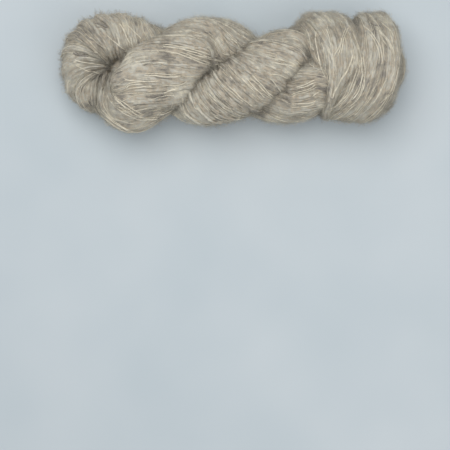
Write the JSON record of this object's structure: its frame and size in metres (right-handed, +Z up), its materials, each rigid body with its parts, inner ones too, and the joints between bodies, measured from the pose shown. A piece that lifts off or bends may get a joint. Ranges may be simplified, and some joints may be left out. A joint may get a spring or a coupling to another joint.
{
  "type": "skein of yarn",
  "caption": "Twisted skein of brushed heather yarn: a thick bundle folded in half, its halves wound round each other and the end loop wrapped over the joined end.",
  "frame": {"origin": "middle of the bounding box at its bottom, on the resting plane", "axes": "+X along the skein from the fold end to the tucked end, +Z up from the resting plane"},
  "size_m": [0.28, 0.0968, 0.068],
  "materials": {
    "yarn": "brushed wool yarn, cream strands in a grey and beige heather fuzz"
  },
  "bodies": {
    "root": {"skein": "yarn"}
  },
  "joints": []
}
